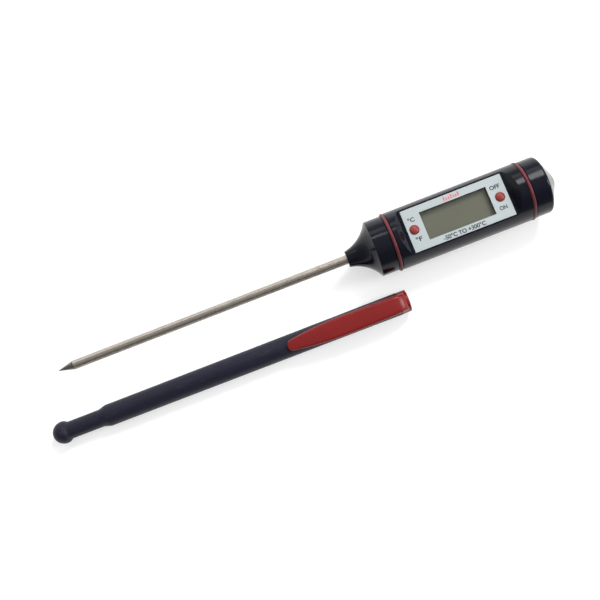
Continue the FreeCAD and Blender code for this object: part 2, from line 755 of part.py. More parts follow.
def surface_parts(kind, count, underside):
    """Row of like parts under the board, along its right side."""
    return [box(f"{kind}_{number}", f"{kind}_length", f"{kind}_width", f"{kind}_height",
                f"{kind}_x + {number} * {kind}_pitch", f"-{kind}_y", f"{underside} - {kind}_height")
            for number in range(count)]


def make_board_components():
    """Crystal, capacitors and resistors soldered under the board."""
    underside = "board_top - board_thickness"
    crystal = rod("crystal", "crystal_radius", "crystal_length", "crystal_x", "crystal_y",
                  f"{underside} - crystal_radius")
    capacitors = surface_parts("capacitor", 3, underside)
    resistors = surface_parts("resistor", 4, underside)
    node("board_components", group("components", crystal, *capacitors, *resistors), THERMOMETER)


def make_switch(label, along):
    """Push switch on the board under a button."""
    base = centred_box(label + "_block", "switch_length", "switch_width", "switch_height",
                       along, "board_top")
    hole = post(label + "_bore", "switch_bore", "switch_height", along, "0",
                "board_top + switch_floor")
    node(label, cut(label + "_bored", base, hole), THERMOMETER)


def make_button(label, along):
    """Domed button with two ears under the flat that keep it in."""
    rounded = turned(label + "_dome", [
        ("0", "button_base"),
        ("button_radius", "button_base"),
        ("button_radius", "button_edge", "-" + dome("button_radius", "button_top - button_edge")),
        ("0", "button_top"),
    ], axis="V_Axis")
    ears = centred_box(label + "_ears", "ear_length", "ear_width", "ear_top - button_base",
                       "0", "button_base")
    node(label, fuse(label + "_with_ears", rounded, ears), THERMOMETER, along=along)


def make_plunger(label, along):
    """Plunger of a push switch, between the switch's spring and the button."""
    plunger = post(label, "plunger_radius", "button_base - plunger_base")
    node(label, plunger, THERMOMETER, along=along, up="plunger_base")


# ---------------------------------------------------------------- battery end

def make_strap():
    """Positive contact strip: a run beside the cell and a tab up the carrier's front."""
    run = centred_box("strap_run", "strap_end - carrier_front", "strap_width", "strap_thickness",
                      "(strap_end + carrier_front) / 2", "-strap_drop")
    tab = centred_box("strap_tab", "strap_thickness", "strap_width", "strap_tab_top + strap_drop",
                      "carrier_front - strap_thickness / 2", "-strap_drop")
    node("positive_contact", fuse("strap", run, tab), THERMOMETER)


def make_battery_carrier():
    """Cup for the cell, with a flange against the handle's bulkhead and a slot for the strip."""
    cup = turned("cup", [
        ("carrier_front", "0"),
        ("carrier_front", "carrier_boss"),
        ("carrier_flange_x", "carrier_boss"),
        ("carrier_flange_x", "carrier_flange"),
        ("bulkhead_x", "carrier_flange"),
        ("bulkhead_x", "carrier_radius"),
        ("carrier_end", "carrier_radius"),
        ("carrier_end", "carrier_bore"),
        ("carrier_floor", "carrier_bore"),
        ("carrier_floor", "0"),
    ])
    slot = centred_box("slot", "carrier_end - carrier_front + 2 * margin", "strap_width + 2 * strap_gap",
                       "strap_slot", "(carrier_end + carrier_front) / 2", "-strap_drop - strap_gap")
    node("battery_carrier", cut("carrier", cup, slot), THERMOMETER)


def make_negative_spring():
    """Coil spring between the carrier and the cell."""
    spring = new_body("negative_spring")
    wire = round_outline(spring, "wire_section", "carrier_floor + coil_wire", "coil_radius", "coil_wire")
    wind(spring, "PartDesign::AdditiveHelix", "coil", wire, "coil_pitch", "coil_length")
    node("negative_spring", spring, THERMOMETER)


def make_battery_wires():
    """Positive wire from the strip's tab, negative wire from the carrier, both to the board."""
    positive = rod("positive_wire", "wire_radius", "carrier_front - strap_thickness - wire_start",
                   "wire_start", "0", "-wire_drop")
    negative = rod("negative_wire", "wire_radius", "carrier_front - wire_start",
                   "wire_start", "wire_y", "-wire_drop")
    node("battery_wires", group("wires", positive, negative), THERMOMETER)


def make_battery_cell():
    """Button cell, negative face towards the spring."""
    cell = turned("battery_cell", [
        ("cell_start", "0"),
        ("cell_start", "cell_cap_radius"),
        ("cell_step", "cell_cap_radius"),
        ("cell_step", "cell_radius"),
        ("cell_end - edge_break", "cell_radius"),
        ("cell_end", "cell_radius - edge_break"),
        ("cell_end", "0"),
    ])
    node("battery_cell", cell, THERMOMETER)


def make_battery_cap():
    """Screw cap with a conical end and a helical groove that runs on the neck's thread."""
    cap = turned("battery_cap", [
        ("cap_start", "cap_minor"),
        ("cap_start", "cap_radius - edge_break"),
        ("cap_start + edge_break", "cap_radius"),
        ("cap_shoulder", "cap_radius", "cap_round"),
        ("cap_cone_start", "cap_cone_radius"),
        ("cap_cone_end", "cap_tip_radius", dome("cap_tip_radius", "thermo_length - cap_cone_end")),
        ("thermo_length", "0"),
        ("cap_inside", "0"),
        ("cap_inside", "cap_minor"),
    ])
    first = "thread_start - groove_lead"
    groove = outline(cap, "groove_profile", "XZ_Plane", [
        (f"{first} - cap_groove_mouth / 2", "cap_minor - thread_sink"),
        (f"{first} - cap_groove_bottom / 2", "cap_major"),
        (f"{first} + cap_groove_bottom / 2", "cap_major"),
        (f"{first} + cap_groove_mouth / 2", "cap_minor - thread_sink"),
    ])
    wind(cap, "PartDesign::SubtractiveHelix", "cap_thread", groove, "thread_pitch", "groove_length")
    node("battery_cap", cap, THERMOMETER)


def make_cap_pad():
    """Foam pad in the bottom of the cap."""
    pad = rod("cap_pad", "pad_radius", "cap_inside - pad_start")
    node("cap_pad", pad, THERMOMETER, along="pad_start")


# ---------------------------------------------------------------- sheath

def make_sheath_tube():
    """Moulded sheath: ball end, waist, long tube, and a thinner mouth that carries the clip."""
    tube = turned("sheath_tube", [
        ("0", "0", dome("ball_radius", "ball_widest")),
        ("ball_widest", "ball_radius", "ball_back"),
        ("ball_end", "sheath_neck"),
        ("waist_end", "sheath_neck"),
        ("shoulder_end", "sheath_radius"),
        ("collar_start", "sheath_mouth_radius"),
        ("collar_start", "collar_seat"),
        ("sheath_length", "collar_seat"),
        ("sheath_length", "mouth_radius"),
        ("mouth_taper_start", "sheath_bore"),
        ("bore_bottom", "sheath_bore"),
        ("bore_point", "0"),
    ])
    node("sheath_tube", tube, SHEATH)


def make_clip_collar():
    """Collar pressed over the sheath's mouth, with the root of the clip's tongue on top."""
    root = padded("clip_root", "XZ_Plane", [
        ("collar_start", "0"),
        ("collar_start", "bridge_top"),
        ("bridge_fold", "bridge_top", "bridge_round"),
        ("bridge_end", "bridge_end_top"),
        ("bridge_end", "0"),
    ], "2 * bridge_half", middle=True)
    band = rod("clip_band", "collar_radius", "sheath_length - collar_start", "collar_start")
    seat = rod("clip_seat", "collar_seat", "sheath_length", "collar_start - margin")
    node("clip_collar", cut("collar", fuse("collar_solid", root, band), seat), SHEATH,
         roll="clip_roll")


def make_clip_tongue():
    """Springy tongue: its plan outline cut from an arched bar."""
    half = [
        ("tip_round_end", "tip_half"),
        ("taper_x", "taper_half"),
        ("wide_start", "wide_half"),
        ("wide_end", "wide_half"),
        ("waist_x", "waist_half"),
        ("tongue_root", "bridge_half"),
    ]
    left = [(along, across) for along, across in half]
    right = [(along, f"-{across}") for along, across in reversed(half)]
    right[-1] = right[-1] + ("tip_round",)
    plan = padded("tongue_plan", "XY_Plane", [("tongue_tip", "0", "tip_round")] + left + right,
                  "3 * sheath_radius")
    side = padded("tongue_side", "XZ_Plane", [
        ("tongue_tip", "tongue_low", "tongue_arch_under"),
        ("tongue_root", "tongue_high"),
        ("tongue_root", "bridge_top", "-tongue_arch"),
        ("tongue_tip", "tongue_tip_top"),
    ], "4 * wide_half", middle=True)
    node("clip_tongue", common("tongue", plan, side), SHEATH, roll="clip_roll")


# ---------------------------------------------------------------- build, check and write

def build():
    make_probe_tube()
    make_probe_point()
    make_thermistor()
    make_lead_sleeve()
    make_nose_cone()
    make_epoxy_plug()
    make_ring("front_ring", "front_ring_x")
    make_ring("rear_ring", "rear_ring_x")
    make_handle_body()
    make_face_label()
    make_display_window()
    make_display()
    make_circuit_board()
    make_chip()
    make_board_components()
    for kind, along in (("unit", "unit_x"), ("power", "power_x")):
        make_switch(kind + "_switch", along)
        make_button(kind + "_button", along)
        make_plunger(kind + "_plunger", along)
    make_strap()
    make_battery_carrier()
    make_negative_spring()
    make_battery_wires()
    make_battery_cell()
    make_battery_cap()
    make_cap_pad()
    make_sheath_tube()
    make_clip_collar()
    make_clip_tongue()


def check():
    """Stop if anything failed to build."""
    for thing in doc.Objects:
        if "Invalid" in thing.State or "Error" in thing.State:
            raise RuntimeError(f"{thing.Label} failed: {thing.State}")
    for thing in nodes:
        if thing.Shape.isNull() or not thing.Shape.isValid() or not thing.Shape.Solids:
            raise RuntimeError(f"{thing.Label} has no valid shape")


def write():
    os.makedirs("parts", exist_ok=True)
    for thing in nodes:
        thing.Shape.exportStep(f"parts/{thing.Label}.step")


build()
doc.recompute()
check()
write()
print(f"{len(nodes)} nodes written")
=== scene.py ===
import math

import bpy
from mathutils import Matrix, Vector


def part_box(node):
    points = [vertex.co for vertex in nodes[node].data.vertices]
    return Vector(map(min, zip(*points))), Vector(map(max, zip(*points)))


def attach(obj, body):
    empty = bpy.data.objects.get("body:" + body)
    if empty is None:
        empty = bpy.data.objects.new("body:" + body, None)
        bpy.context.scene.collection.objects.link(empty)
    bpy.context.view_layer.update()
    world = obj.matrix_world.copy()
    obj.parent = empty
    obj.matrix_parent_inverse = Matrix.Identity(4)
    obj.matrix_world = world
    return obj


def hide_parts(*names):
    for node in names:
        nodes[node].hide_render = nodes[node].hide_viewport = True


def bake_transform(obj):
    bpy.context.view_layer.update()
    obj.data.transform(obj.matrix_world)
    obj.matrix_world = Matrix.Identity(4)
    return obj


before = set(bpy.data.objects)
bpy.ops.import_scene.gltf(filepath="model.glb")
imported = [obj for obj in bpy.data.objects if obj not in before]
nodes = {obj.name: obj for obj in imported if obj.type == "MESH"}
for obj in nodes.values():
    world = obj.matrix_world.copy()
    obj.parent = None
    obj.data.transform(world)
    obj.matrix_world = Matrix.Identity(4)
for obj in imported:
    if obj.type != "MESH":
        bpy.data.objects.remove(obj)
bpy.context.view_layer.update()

# A pen-type probe thermometer lying beside its pocket sheath. X runs from the probe's point
# to the battery cap, Z is up, and the table is z = 0. Lengths are in metres; MM turns the
# millimetres that a maker would quote into them.
MM = 0.001
bpy.ops.object.select_all(action="DESELECT")


# ---------------------------------------------------------------- probe
# A drawn stainless tube, 3.7 mm across, with a solid cone fixed in its front end. The tube keeps
# fine draw lines along its length, and the cone keeps the rings of the wheel that ground it.

class Shade:
    """One value on its way through a material, so that maths on it is written as Python."""

    def __init__(self, tree, socket=None):
        self.tree = tree
        self.socket = socket

    def node(self, kind, settings, sockets, output=0):
        """Any node: its type, its settings, then the values or links of its sockets."""
        made = self.tree.nodes.new("ShaderNode" + kind)
        for name, value in settings.items():
            if name == "stops":
                self.set_stops(made.color_ramp, value)
            else:
                setattr(made, name, value)
        for name, value in sockets.items():
            if isinstance(value, Shade):
                self.tree.links.new(value.socket, made.inputs[name])
            else:
                made.inputs[name].default_value = value
        return Shade(self.tree, made.outputs[output] if made.outputs else None)

    @staticmethod
    def set_stops(ramp, stops):
        """Stops of a ramp: a place and a grey or a colour for each."""
        while len(ramp.elements) < len(stops):
            ramp.elements.new(1.0)
        for element, (place, shade) in zip(ramp.elements, stops):
            element.position = place
            element.color = shade if isinstance(shade, tuple) else (shade, shade, shade, 1.0)

    def maths(self, operation, first, second=0.0):
        return self.node("Math", {"operation": operation}, {0: first, 1: second})

    def __add__(self, other):
        return self.maths("ADD", self, other)

    def __radd__(self, other):
        return self.maths("ADD", other, self)

    def __sub__(self, other):
        return self.maths("SUBTRACT", self, other)

    def __rsub__(self, other):
        return self.maths("SUBTRACT", other, self)

    def __mul__(self, other):
        return self.maths("MULTIPLY", self, other)

    def __rmul__(self, other):
        return self.maths("MULTIPLY", other, self)

    def blend(self, low, high):
        """A colour between two, by this value."""
        return self.node("Mix", {"data_type": "RGBA"}, {0: self, 6: low, 7: high}, output=2)

    def ramp(self, *stops):
        return self.node("ValToRGB", {"stops": stops}, {0: self})

    def place(self):
        """Where on the object a point lies, in metres."""
        return self.node("TexCoord", {}, {}, output="Object")

    def noise(self, stretch, detail=3.0, roughness=0.55):
        """Noise from 0 to 1, with so many blotches to the metre along X, Y and Z."""
        where = self.node("Mapping", {}, {"Vector": self.place(), "Scale": stretch})
        settings = {"Vector": where, "Scale": 1.0, "Detail": detail, "Roughness": roughness}
        return self.node("TexNoise", {}, settings)

    def bump(self, height, depth):
        """Normals of a surface whose height varies by so many metres."""
        return self.node("Bump", {}, {"Height": height, "Distance": depth, "Strength": 1.0})

    def skin(self, sockets):
        """The finished surface."""
        self.node("OutputMaterial", {}, {"Surface": self.node("BsdfPrincipled", {}, sockets)})


def new_material(name):
    """An empty material and the start of its maths."""
    material = bpy.data.materials.new(name)
    material.use_nodes = True
    material.node_tree.nodes.clear()
    return material, Shade(material.node_tree)


def paint(red, green, blue):
    """Colour of a paint from its values on a screen, 0 to 255."""
    def linear(value):
        share = value / 255
        return share / 12.92 if share <= 0.04045 else ((share + 0.055) / 1.055) ** 2.4
    return (linear(red), linear(green), linear(blue), 1.0)


def dress(material, *names):
    """Give CAD nodes their finish."""
    for name in names:
        for slot in nodes[name].material_slots:
            slot.material = material


def steel(name, lines, scuffs, pale, dull):
    """Bare stainless steel: working marks with so many lines to the metre each way."""
    material, start = new_material(name)
    marks = start.noise(lines, detail=4.0)
    stains = start.noise(scuffs, detail=2.0)
    start.skin({
        "Base Color": (marks * 0.6 + stains * 0.4).blend(dull, pale),
        "Metallic": 1.0,
        "Roughness": marks * 0.14 + stains * 0.1 + 0.16,
        "Normal": start.bump(marks, 0.0015 * MM),
    })
    return material


dress(steel("drawn_steel", (6, 5200, 5200), (220, 300, 300), paint(208, 201, 191), paint(158, 149, 138)),
      "probe_tube")
dress(steel("ground_steel", (5200, 90, 90), (500, 500, 500), paint(160, 154, 147), paint(100, 94, 90)),
      "probe_point")


# ---------------------------------------------------------------- sensor inside the probe
# A glass thermistor bead in amber epoxy behind the point. Two enamelled leads run from it to the
# board through a white sleeve. All of it is pushed in from the rear and fixed by the epoxy.

def mottled(name, light, dark, grain, shine, metal=0.0, relief=0.01):
    """A plain inner part: its two tones, its blotches to the metre, and its two roughnesses."""
    material, start = new_material(name)
    blotches = start.noise((grain, grain, grain))
    start.skin({
        "Base Color": blotches.blend(dark, light),
        "Metallic": metal,
        "Roughness": blotches * (shine[1] - shine[0]) + shine[0],
        "Normal": start.bump(blotches, relief * MM),
    })
    return material


dress(mottled("bead_glass", paint(122, 58, 34), paint(86, 34, 20), 900, (0.06, 0.14)), "thermistor_bead")
dress(mottled("amber_epoxy", paint(196, 148, 70), paint(158, 108, 42), 700, (0.14, 0.3)),
      "tip_potting", "epoxy_plug")
dress(mottled("lead_enamel", paint(160, 82, 40), paint(122, 56, 26), 1500, (0.2, 0.32), metal=0.6),
      "thermistor_leads")
dress(mottled("sleeve_fibre", paint(226, 222, 210), paint(198, 192, 178), 2600, (0.6, 0.8), relief=0.05),
      "lead_sleeve")


# ---------------------------------------------------------------- nose and handle body
# Two mouldings in glossy black ABS. The nose flares from the probe to the handle; the handle is a
# tube with a flat for the label, and its end slopes are as polished as the rest.

def glossy_black():
    """Polished black ABS: faint ripple of the mould, hairline scratches and a little dust."""
    material, start = new_material("glossy_black")
    ripple = start.noise((260, 420, 420), detail=2.0)
    hairlines = start.noise((240, 9000, 5000), detail=2.0).ramp((0.60, 0.0), (0.74, 1.0))
    dust = start.noise((7000, 7000, 7000), detail=1.0).ramp((0.70, 0.0), (0.80, 1.0))
    handling = start.noise((90, 130, 130), detail=3.0)
    start.skin({
        "Base Color": dust.blend(handling.blend(paint(8, 9, 17), paint(14, 16, 27)), paint(52, 54, 66)),
        "Roughness": handling * 0.10 + hairlines * 0.12 + dust * 0.2 + 0.10,
        "Specular IOR Level": 0.22,
        "Normal": start.bump(ripple, 0.012 * MM),
    })
    return material


black_plastic = glossy_black()
dress(black_plastic, "nose_cone", "handle_body")


# ---------------------------------------------------------------- circuit board
# A green board slides into rails in the handle. Under it sit the chip in its black blob, a crystal,
# capacitors and resistors; on it stand two push switches with white plungers.

dress(mottled("board_mask", paint(38, 118, 66), paint(24, 88, 48), 800, (0.25, 0.4)), "circuit_board")
dress(mottled("chip_epoxy", paint(30, 30, 32), paint(14, 14, 15), 600, (0.2, 0.38), relief=0.05),
      "chip_blob")
dress(mottled("tinned_parts", paint(184, 168, 140), paint(140, 122, 96), 1400, (0.25, 0.45), metal=0.4),
      "board_components")
dress(mottled("switch_nylon", paint(222, 220, 212), paint(196, 194, 186), 1200, (0.35, 0.5)),
      "unit_switch", "power_switch", "unit_plunger", "power_plunger")


# ---------------------------------------------------------------- display
# A liquid crystal panel of two glasses in a black frame, joined to the board by two strips of
# striped rubber. A clear acrylic pane closes the opening above it.

def striped_rubber():
    """Contact rubber: black conducting stripes through pale rubber."""
    material, start = new_material("striped_rubber")
    along = start.node("SeparateXYZ", {}, {0: start.place()}, output="X")
    stripe = start.maths("GREATER_THAN", start.maths("FRACT", along * 2500.0), 0.5)
    grain = start.noise((2000, 2000, 2000))
    start.skin({
        "Base Color": stripe.blend(paint(205, 150, 150), paint(24, 22, 24)),
        "Roughness": grain * 0.2 + 0.55,
    })
    return material


def display_glass():
    """Blank display: olive grey, slightly cloudy, with a fine speckle."""
    material, start = new_material("display_glass")
    speckle = start.noise((6000, 6000, 6000), detail=1.0)
    cloud = start.noise((60, 90, 90), detail=1.0)
    tone = (speckle * 0.35 + cloud * 0.65).blend(paint(112, 112, 94), paint(126, 125, 106))
    start.skin({"Base Color": tone, "Roughness": speckle * 0.1 + 0.3})
    return material


def clear_acrylic():
    """Clear pane: see-through, with the shine of acrylic and a few fine scratches."""
    material, start = new_material("clear_acrylic")
    scratches = start.noise((400, 8000, 8000), detail=2.0).ramp((0.62, 0.0), (0.75, 1.0))
    shine = start.node("Fresnel", {}, {"IOR": 1.49})
    through = start.node("BsdfTransparent", {}, {"Color": (0.93, 0.94, 0.93, 1.0)})
    rough = scratches * 0.15 + 0.03
    gloss = start.node("BsdfGlossy", {}, {"Color": (1.0, 1.0, 1.0, 1.0), "Roughness": rough})
    both = start.node("MixShader", {}, {0: shine, 1: through, 2: gloss})
    start.node("OutputMaterial", {}, {"Surface": both})
    return material


dress(mottled("frame_plastic", paint(26, 26, 28), paint(14, 14, 15), 900, (0.4, 0.55)), "lcd_frame")
dress(striped_rubber(), "contact_strips")
dress(display_glass(), "lcd_panel")
dress(clear_acrylic(), "display_window")


# ---------------------------------------------------------------- label and its print
# A thin pale label glued to the handle's flat, cut out for the display and the buttons. The legends
# are screen printed on it: unit signs, OFF and ON, the range, and a short red scale.

def label_film():
    """Pale grey film with a brushed look along its length."""
    material, start = new_material("label_film")
    brushing = start.noise((60, 7000, 60), detail=3.0)
    fade = start.noise((70, 70, 70), detail=2.0)
    start.skin({
        "Base Color": (brushing * 0.5 + fade * 0.5).blend(paint(152, 161, 163), paint(165, 172, 173)),
        "Metallic": 0.15,
        "Roughness": brushing * 0.15 + 0.34,
        "Normal": start.bump(brushing, 0.002 * MM),
    })
    return material


def ink(name, solid, thin):
    """Screen-printing ink, a little uneven in its cover."""
    material, start = new_material(name)
    cover = start.noise((5000, 5000, 5000), detail=3.0)
    start.skin({"Base Color": cover.blend(solid, thin), "Roughness": cover * 0.2 + 0.4})
    return material


dress(label_film(), "face_label")
black_ink = ink("black_ink", paint(18, 19, 23), paint(38, 40, 46))
red_ink = ink("red_ink", paint(190, 40, 52), paint(206, 78, 84))
label_low, label_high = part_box("face_label")
label_middle = (label_low + label_high) / 2
INK_THICKNESS = 0.02 * MM


def finish_print(piece, name, width, height, along, across, material):
    """Size a flat print, lay it on the label and hand it over."""
    piece.name = name
    low = [min(vertex.co[axis] for vertex in piece.data.vertices) for axis in range(2)]
    high = [max(vertex.co[axis] for vertex in piece.data.vertices) for axis in range(2)]
    grow_x = width / (high[0] - low[0])
    grow_y = height / (high[1] - low[1])
    piece.scale = (grow_x, grow_y, 1)
    piece.location = (
        label_middle.x + along - grow_x * (low[0] + high[0]) / 2,
        label_middle.y + across - grow_y * (low[1] + high[1]) / 2,
        label_high.z,
    )
    bpy.ops.object.transform_apply(location=True, rotation=True, scale=True)
    piece.data.materials.clear()
    piece.data.materials.append(material)
    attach(piece, "thermometer")
    piece.select_set(False)


def legend(name, words, width, height, along, across):
    """One printed legend, so wide and so high, measured from the label's middle."""
    bpy.ops.object.text_add()
    text = bpy.context.object
    text.data.body = words
    text.data.size = height
    text.data.offset = 0.03 * height
    text.data.extrude = INK_THICKNESS
    bpy.ops.object.convert(target="MESH")
    finish_print(bpy.context.object, name, width, height, along, across, black_ink)


legend("print_celsius", "°C", 2.6 * MM, 1.8 * MM, -17.2 * MM, 4.0 * MM)
legend("print_fahrenheit", "°F", 2.5 * MM, 1.8 * MM, -17.0 * MM, -3.9 * MM)
legend("print_off", "OFF", 4.0 * MM, 1.65 * MM, 16.4 * MM, 4.25 * MM)
legend("print_on", "ON", 3.0 * MM, 1.6 * MM, 16.55 * MM, -4.25 * MM)
legend("print_range", "-50°C TO +300°C", 16.7 * MM, 1.8 * MM, -0.05 * MM, -7.1 * MM)

# The red scale: upright ticks, every third one long
TICKS = 7
TICK_WIDTH = 0.45 * MM
LONG_TICK = 1.6 * MM
SHORT_TICK = 1.0 * MM
ticks = []
for number in range(TICKS):
    tall = LONG_TICK if number % 3 == 0 else SHORT_TICK
    bpy.ops.mesh.primitive_plane_add(size=1, location=(number * MM, tall / 2, 0))
    tick = bpy.context.object
    tick.scale = (TICK_WIDTH, tall, 1)
    bpy.ops.object.transform_apply(location=True, rotation=True, scale=True)
    bpy.ops.object.mode_set(mode="EDIT")
    bpy.ops.mesh.select_all(action="SELECT")
    bpy.ops.mesh.extrude_region_move(TRANSFORM_OT_translate={"value": (0, 0, INK_THICKNESS)})
    bpy.ops.mesh.select_all(action="SELECT")
    bpy.ops.mesh.normals_make_consistent(inside=False)
    bpy.ops.object.mode_set(mode="OBJECT")
    ticks.append(tick)
for tick in ticks:
    tick.select_set(True)
bpy.ops.object.join()
finish_print(bpy.context.object, "print_scale", 6.1 * MM, LONG_TICK, 0, 7.05 * MM, red_ink)


# ---------------------------------------------------------------- buttons and rubber rings
# Red nylon buttons drop into the handle from inside and rest on the switches. The two rings are
# red silicone cord, moulded in one piece, and sit in the grooves at the handle's ends.

def red_nylon():
    """Satin red moulding with paler rubbed blotches."""
    material, start = new_material("red_nylon")
    grain = start.noise((2600, 2600, 2600))
    rubbed = start.noise((700, 700, 700), detail=2.0)
    tone = rubbed.blend(paint(116, 36, 34), paint(131, 46, 38))
    start.skin({
        "Base Color": tone,
        "Roughness": grain * 0.15 + 0.3,
        "Normal": start.bump(grain, 0.006 * MM),
    })
    return material


def red_silicone():
    """Soft red rubber with a dull bloom and specks of lint."""
    material, start = new_material("red_silicone")
    bloom = start.noise((350, 350, 350), detail=3.0)
    grain = start.noise((9000, 9000, 9000), detail=1.0)
    lint = grain.ramp((0.70, 0.0), (0.78, 1.0))
    start.skin({
        "Base Color": lint.blend(bloom.blend(paint(78, 22, 30), paint(96, 32, 41)), paint(132, 88, 94)),
        "Roughness": bloom * 0.15 + grain * 0.1 + 0.36,
        "Normal": start.bump(grain, 0.01 * MM),
    })
    return material


dress(red_nylon(), "unit_button", "power_button")
dress(red_silicone(), "front_ring", "rear_ring")


# ---------------------------------------------------------------- battery end
# A white nylon cup holds the button cell against a coil spring and a contact strip; red wires run
# to the board. The black cap screws over the neck and presses the cell home with a foam pad.

dress(mottled("carrier_nylon", paint(228, 226, 218), paint(206, 203, 194), 700, (0.35, 0.5)),
      "battery_carrier")
dress(mottled("nickel", paint(206, 198, 180), paint(168, 160, 142), 1800, (0.18, 0.34), metal=1.0),
      "positive_contact", "negative_spring")
dress(mottled("wire_cover", paint(186, 38, 36), paint(150, 24, 24), 1500, (0.3, 0.45)), "battery_wires")
dress(mottled("cell_case", paint(198, 198, 196), paint(166, 166, 164), 500, (0.16, 0.3), metal=1.0),
      "battery_cell")
dress(mottled("grey_foam", paint(112, 112, 114), paint(70, 70, 72), 4200, (0.8, 0.95), relief=0.15),
      "cap_pad")
dress(black_plastic, "battery_cap")


# ---------------------------------------------------------------- sheath
# The pocket sheath is one moulding in charcoal polypropylene, with the mould's fine spark-eroded
# grain all over it. Its ball end is waisted so that a lanyard holds on it.

def charcoal_grain():
    """Matt charcoal plastic: fine grain, and paler scuffs from the pocket."""
    material, start = new_material("charcoal_grain")
    grain = start.noise((5200, 5200, 5200), detail=3.0)
    scuffs = start.noise((140, 1500, 1500), detail=4.0).ramp((0.56, 0.0), (0.80, 1.0))
    cloud = start.noise((60, 120, 120), detail=2.0)
    tone = cloud.blend(paint(18, 18, 33), paint(25, 25, 40))
    start.skin({
        "Base Color": (scuffs * 0.3).blend(tone, paint(64, 64, 80)),
        "Roughness": grain * 0.16 - scuffs * 0.08 + 0.44,
        "Specular IOR Level": 0.3,
        "Normal": start.bump(grain, 0.02 * MM),
    })
    return material


dress(charcoal_grain(), "sheath_tube")


# ---------------------------------------------------------------- pocket clip
# One moulding in red acetal: a collar pressed over the sheath's mouth, with a root on top that
# runs out into a springy tongue. The tongue bends at its root when it is pushed over a pocket.

sheath_low, sheath_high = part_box("sheath_tube")
CLOSED_END = sheath_low.x
SHEATH_Y = (sheath_low.y + sheath_high.y) / 2
SHEATH_Z = (sheath_low.z + sheath_high.z) / 2
ROLL = math.radians(6.5)
COLLAR_RADIUS = 4.42 * MM
SEAT_RADIUS = 3.86 * MM
COLLAR_START = 145.9 * MM
MOUTH = 149.75 * MM
EDGE_ROUND = 0.3 * MM
BACK_ROUND = 1.2 * MM
SEAT_OVERRUN = 1 * MM


def red_acetal():
    """Glossy dark red moulding with a faint flow pattern and fine rub marks along it."""
    material, start = new_material("red_acetal")
    flow = start.noise((70, 260, 260), detail=3.0)
    rubs = start.noise((160, 6500, 6500), detail=3.0)
    start.skin({
        "Base Color": flow.blend(paint(104, 12, 13), paint(120, 18, 18)),
        "Roughness": rubs * 0.14 + flow * 0.06 + 0.2,
        "Specular IOR Level": 0.42,
        "Normal": start.bump(rubs, 0.004 * MM),
    })
    return material


# Millimetres from the sheath's closed end along its axis, and above that axis
TONGUE_TIP = 99.4
TONGUE_ROOT = 145.7
ROUND_END = 2.2
END_HALF = 2.28
BELLY = 24.0
BELLY_HALF = 3.88
ROOT_HALF = 3.55
ROOT_UNDER = 3.0
FOLD_START = 145.0
FOLD_LENGTH = 3.5
FOLD_LOW = 4.6
FOLD_HEIGHT = 2.38
TIP_UNDER = 4.6
TIP_TOP = 5.5
UNDER_RISE = 0.95
TOP_RISE = 1.45
ARCH = 0.67
TONGUE_STEPS = 18


def half_width(along):
    """Half width of the tongue: a round end, a slow swell, and a slow narrowing to the root."""
    past_tip = along - TONGUE_TIP
    if past_tip < ROUND_END:
        return END_HALF * math.sqrt(1 - (1 - past_tip / ROUND_END) ** 2)
    if past_tip < BELLY:
        return BELLY_HALF - (BELLY_HALF - END_HALF) * ((BELLY - past_tip) / (BELLY - ROUND_END)) ** 2
    past_belly = (past_tip - BELLY) / (TONGUE_ROOT - TONGUE_TIP - BELLY)
    return BELLY_HALF - (BELLY_HALF - ROOT_HALF) * past_belly ** 2


def tongue_section(along):
    """Cross-section of the tongue, which thickens and rises in a slight arch to its root."""
    share = (along - TONGUE_TIP) / (TONGUE_ROOT - TONGUE_TIP)
    arch = ARCH * (1 - (2 * share - 1) ** 2)
    under = TIP_UNDER + UNDER_RISE * share + arch
    top = TIP_TOP + TOP_RISE * share + arch
    return along, half_width(along), under, top


def clip_sections():
    """Cross-sections from the root to the free end: along, half width, underside and top."""
    sections = []
    for degrees in range(90, 10, -10):
        turn = math.radians(degrees)
        top = FOLD_LOW + FOLD_HEIGHT * math.cos(turn)
        sections.append((FOLD_START + FOLD_LENGTH * math.sin(turn), ROOT_HALF, ROOT_UNDER, top))
    straight = TONGUE_ROOT - TONGUE_TIP - ROUND_END
    for step in range(TONGUE_STEPS + 1):
        sections.append(tongue_section(TONGUE_ROOT - straight * step / TONGUE_STEPS))
    for degrees in (75, 60, 45, 30, 15):
        sections.append(tongue_section(TONGUE_TIP + ROUND_END * (1 - math.cos(math.radians(degrees)))))
    return sections


def extrude_section(section, last):
    """Extrude the selected face from one cross-section to the next."""
    along, half, low, high = (value * MM for value in section)
    last_along, last_half, last_low, last_high = (value * MM for value in last)
    step = (along - last_along, 0, (low + high - last_low - last_high) / 2)
    bpy.ops.mesh.extrude_region_move(TRANSFORM_OT_translate={"value": step})
    bpy.ops.transform.resize(
        value=(1, half / last_half, (high - low) / (last_high - last_low)),
        center_override=(along, 0, (low + high) / 2),
    )


def modify(piece, kind, **settings):
    """Add a modifier and apply it."""
    modifier = piece.modifiers.new(kind.lower(), kind)
    for name, value in settings.items():
        setattr(modifier, name, value)
    bpy.context.view_layer.objects.active = piece
    bpy.ops.object.modifier_apply(modifier=modifier.name)


def collar_drum(radius, start, end):
    """Cylinder round the clip's axis from one place along it to another."""
    bpy.ops.mesh.primitive_cylinder_add(
        vertices=96, radius=radius, depth=end - start, rotation=(0, math.pi / 2, 0),
        location=((start + end) / 2, 0, 0),
    )
    drum = bpy.context.object
    bpy.ops.object.transform_apply(location=True, rotation=True, scale=True)
    drum.select_set(False)
    return drum


